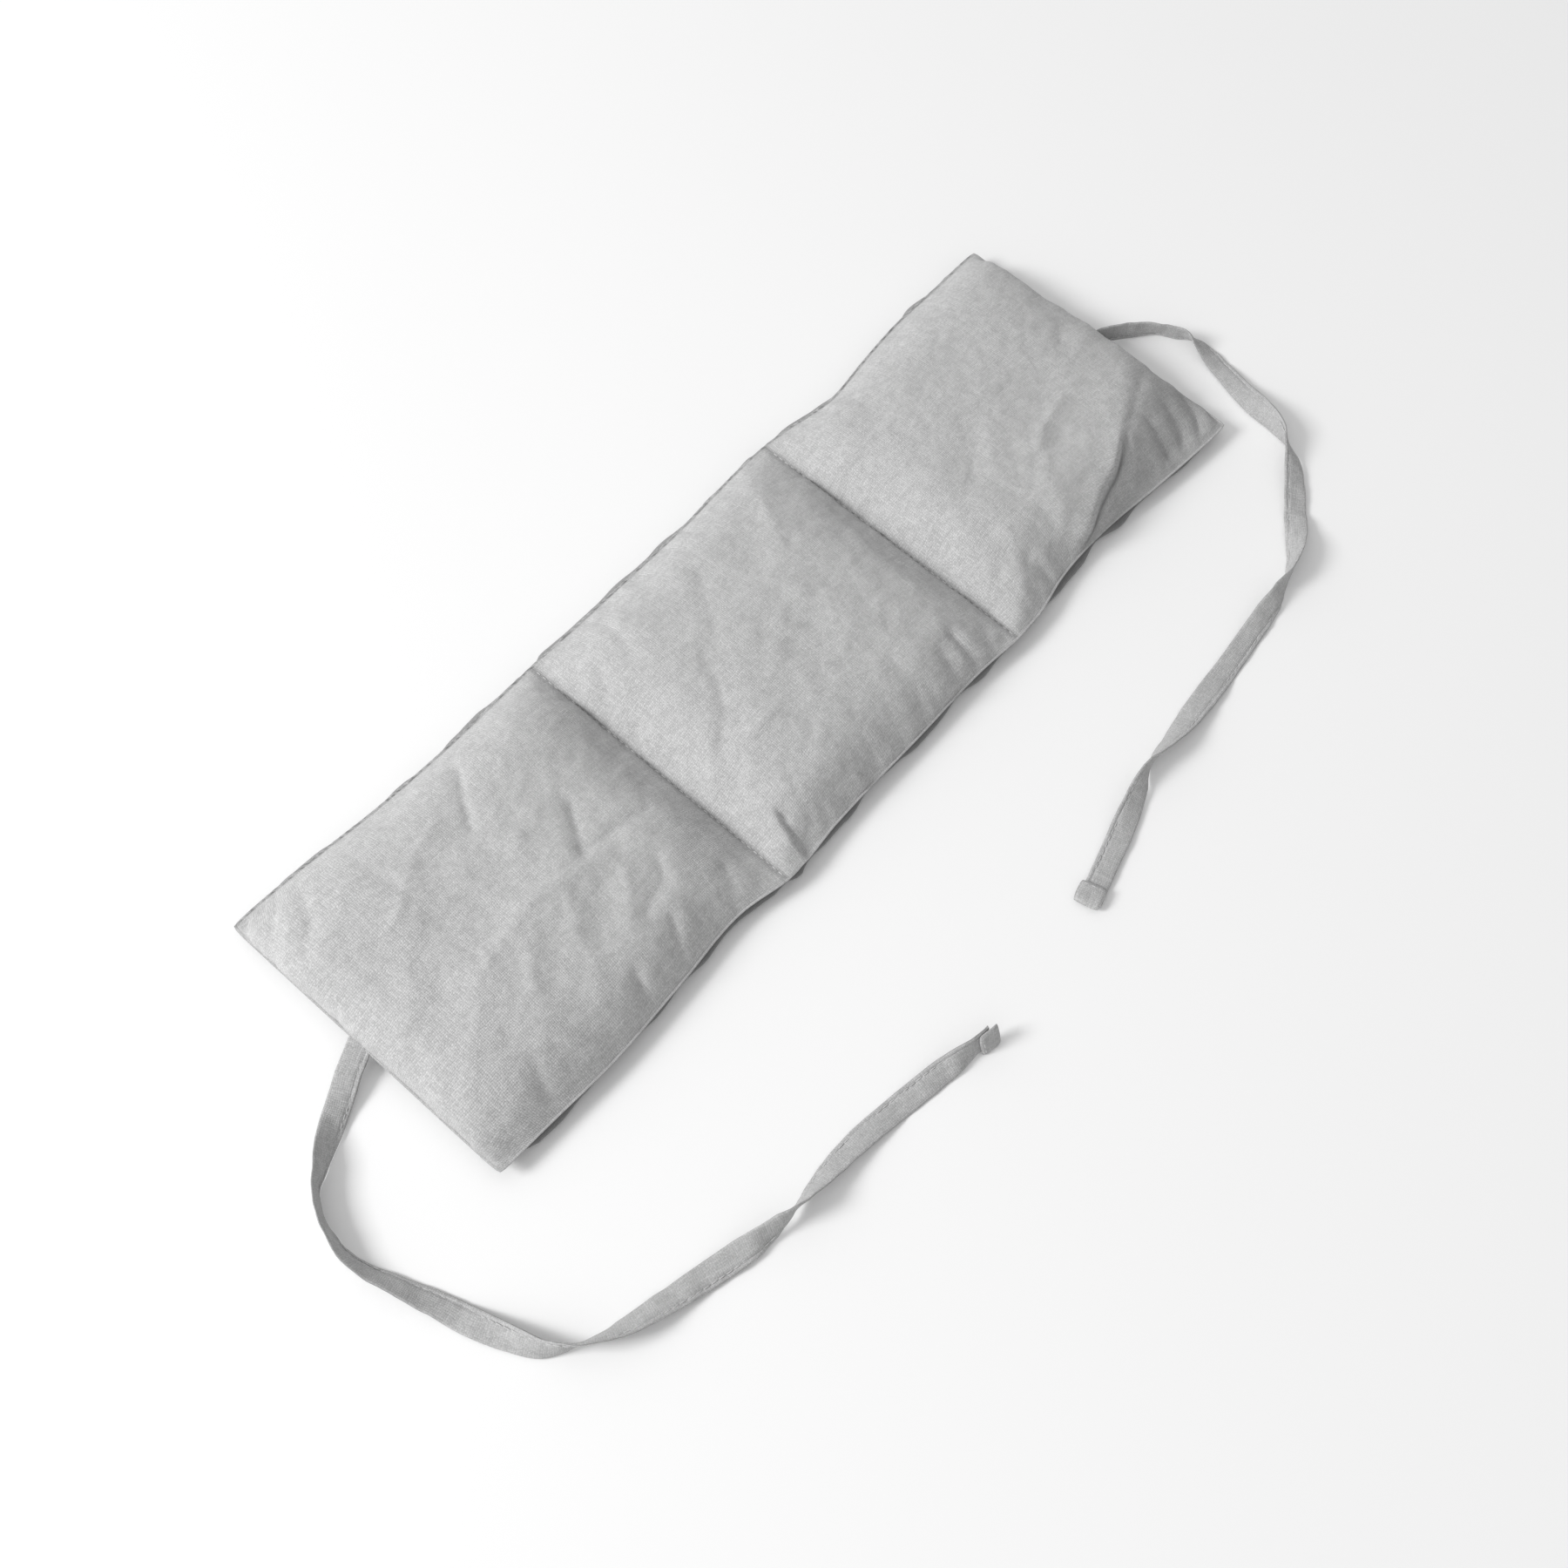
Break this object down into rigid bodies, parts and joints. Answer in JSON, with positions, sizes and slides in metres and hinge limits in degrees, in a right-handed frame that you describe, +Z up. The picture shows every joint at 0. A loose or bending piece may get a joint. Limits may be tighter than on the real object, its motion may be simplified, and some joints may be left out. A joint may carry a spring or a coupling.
{
  "type": "tie-on warming pad",
  "caption": "Long flat tie-on pad of plain-weave cloth, with grain-filled chambers in a row that fold at sewn channels, and a narrow cloth tie out of each short end.",
  "frame": {"origin": "on the surface it lies on, under the middle of the pad", "axes": "+X along the pad from the near end to the far end, +Y to the pad's left side, +Z up"},
  "size_m": [0.5036, 0.2246, 0.0229],
  "materials": {
    "cloth": "light grey plain-weave linen, matt, with slubs",
    "thread": "light grey sewing thread, matt",
    "grain": "dry loose grain, hidden inside"
  },
  "bodies": {
    "middle": {"middle_top_panel": "cloth", "middle_bottom_panel": "cloth", "middle_grain_fill": "grain", "middle_left_edge_stitch": "thread", "middle_right_edge_stitch": "thread", "near_channel_stitch": "thread", "far_channel_stitch": "thread"},
    "near": {"near_top_panel": "cloth", "near_bottom_panel": "cloth", "near_grain_fill": "grain", "near_edge_stitch": "thread"},
    "far": {"far_top_panel": "cloth", "far_bottom_panel": "cloth", "far_grain_fill": "grain", "far_edge_stitch": "thread"},
    "near_tie": {"near_tie_tape": "cloth", "near_tie_edge_stitch": "thread", "near_tie_tip_fold": "cloth", "near_tie_tip_stitch": "thread"},
    "far_tie": {"far_tie_tape": "cloth", "far_tie_edge_stitch": "thread", "far_tie_tip_fold": "cloth", "far_tie_tip_stitch": "thread"}
  },
  "joints": [
    {"name": "near_fold", "type": "hinge", "parent": "middle", "child": "near", "pos_m": [-0.0625, 0, 0.006], "axis": [0, 1, 0], "range_deg": [0, 105]},
    {"name": "far_fold", "type": "hinge", "parent": "middle", "child": "far", "pos_m": [0.0725, 0, 0.006], "axis": [0, -1, 0], "range_deg": [0, 105]},
    {"name": "near_tie_swing", "type": "hinge", "parent": "near", "child": "near_tie", "pos_m": [-0.209, 0, 0.006], "axis": [0, -1, 0], "range_deg": [0, 105]},
    {"name": "far_tie_swing", "type": "hinge", "parent": "far", "child": "far_tie", "pos_m": [0.209, 0, 0.006], "axis": [0, 1, 0], "range_deg": [0, 105]}
  ],
  "couplings": [
    {"joint": "near_tie_swing", "follows": "near_fold", "ratio": 1},
    {"joint": "far_tie_swing", "follows": "far_fold", "ratio": 1}
  ]
}
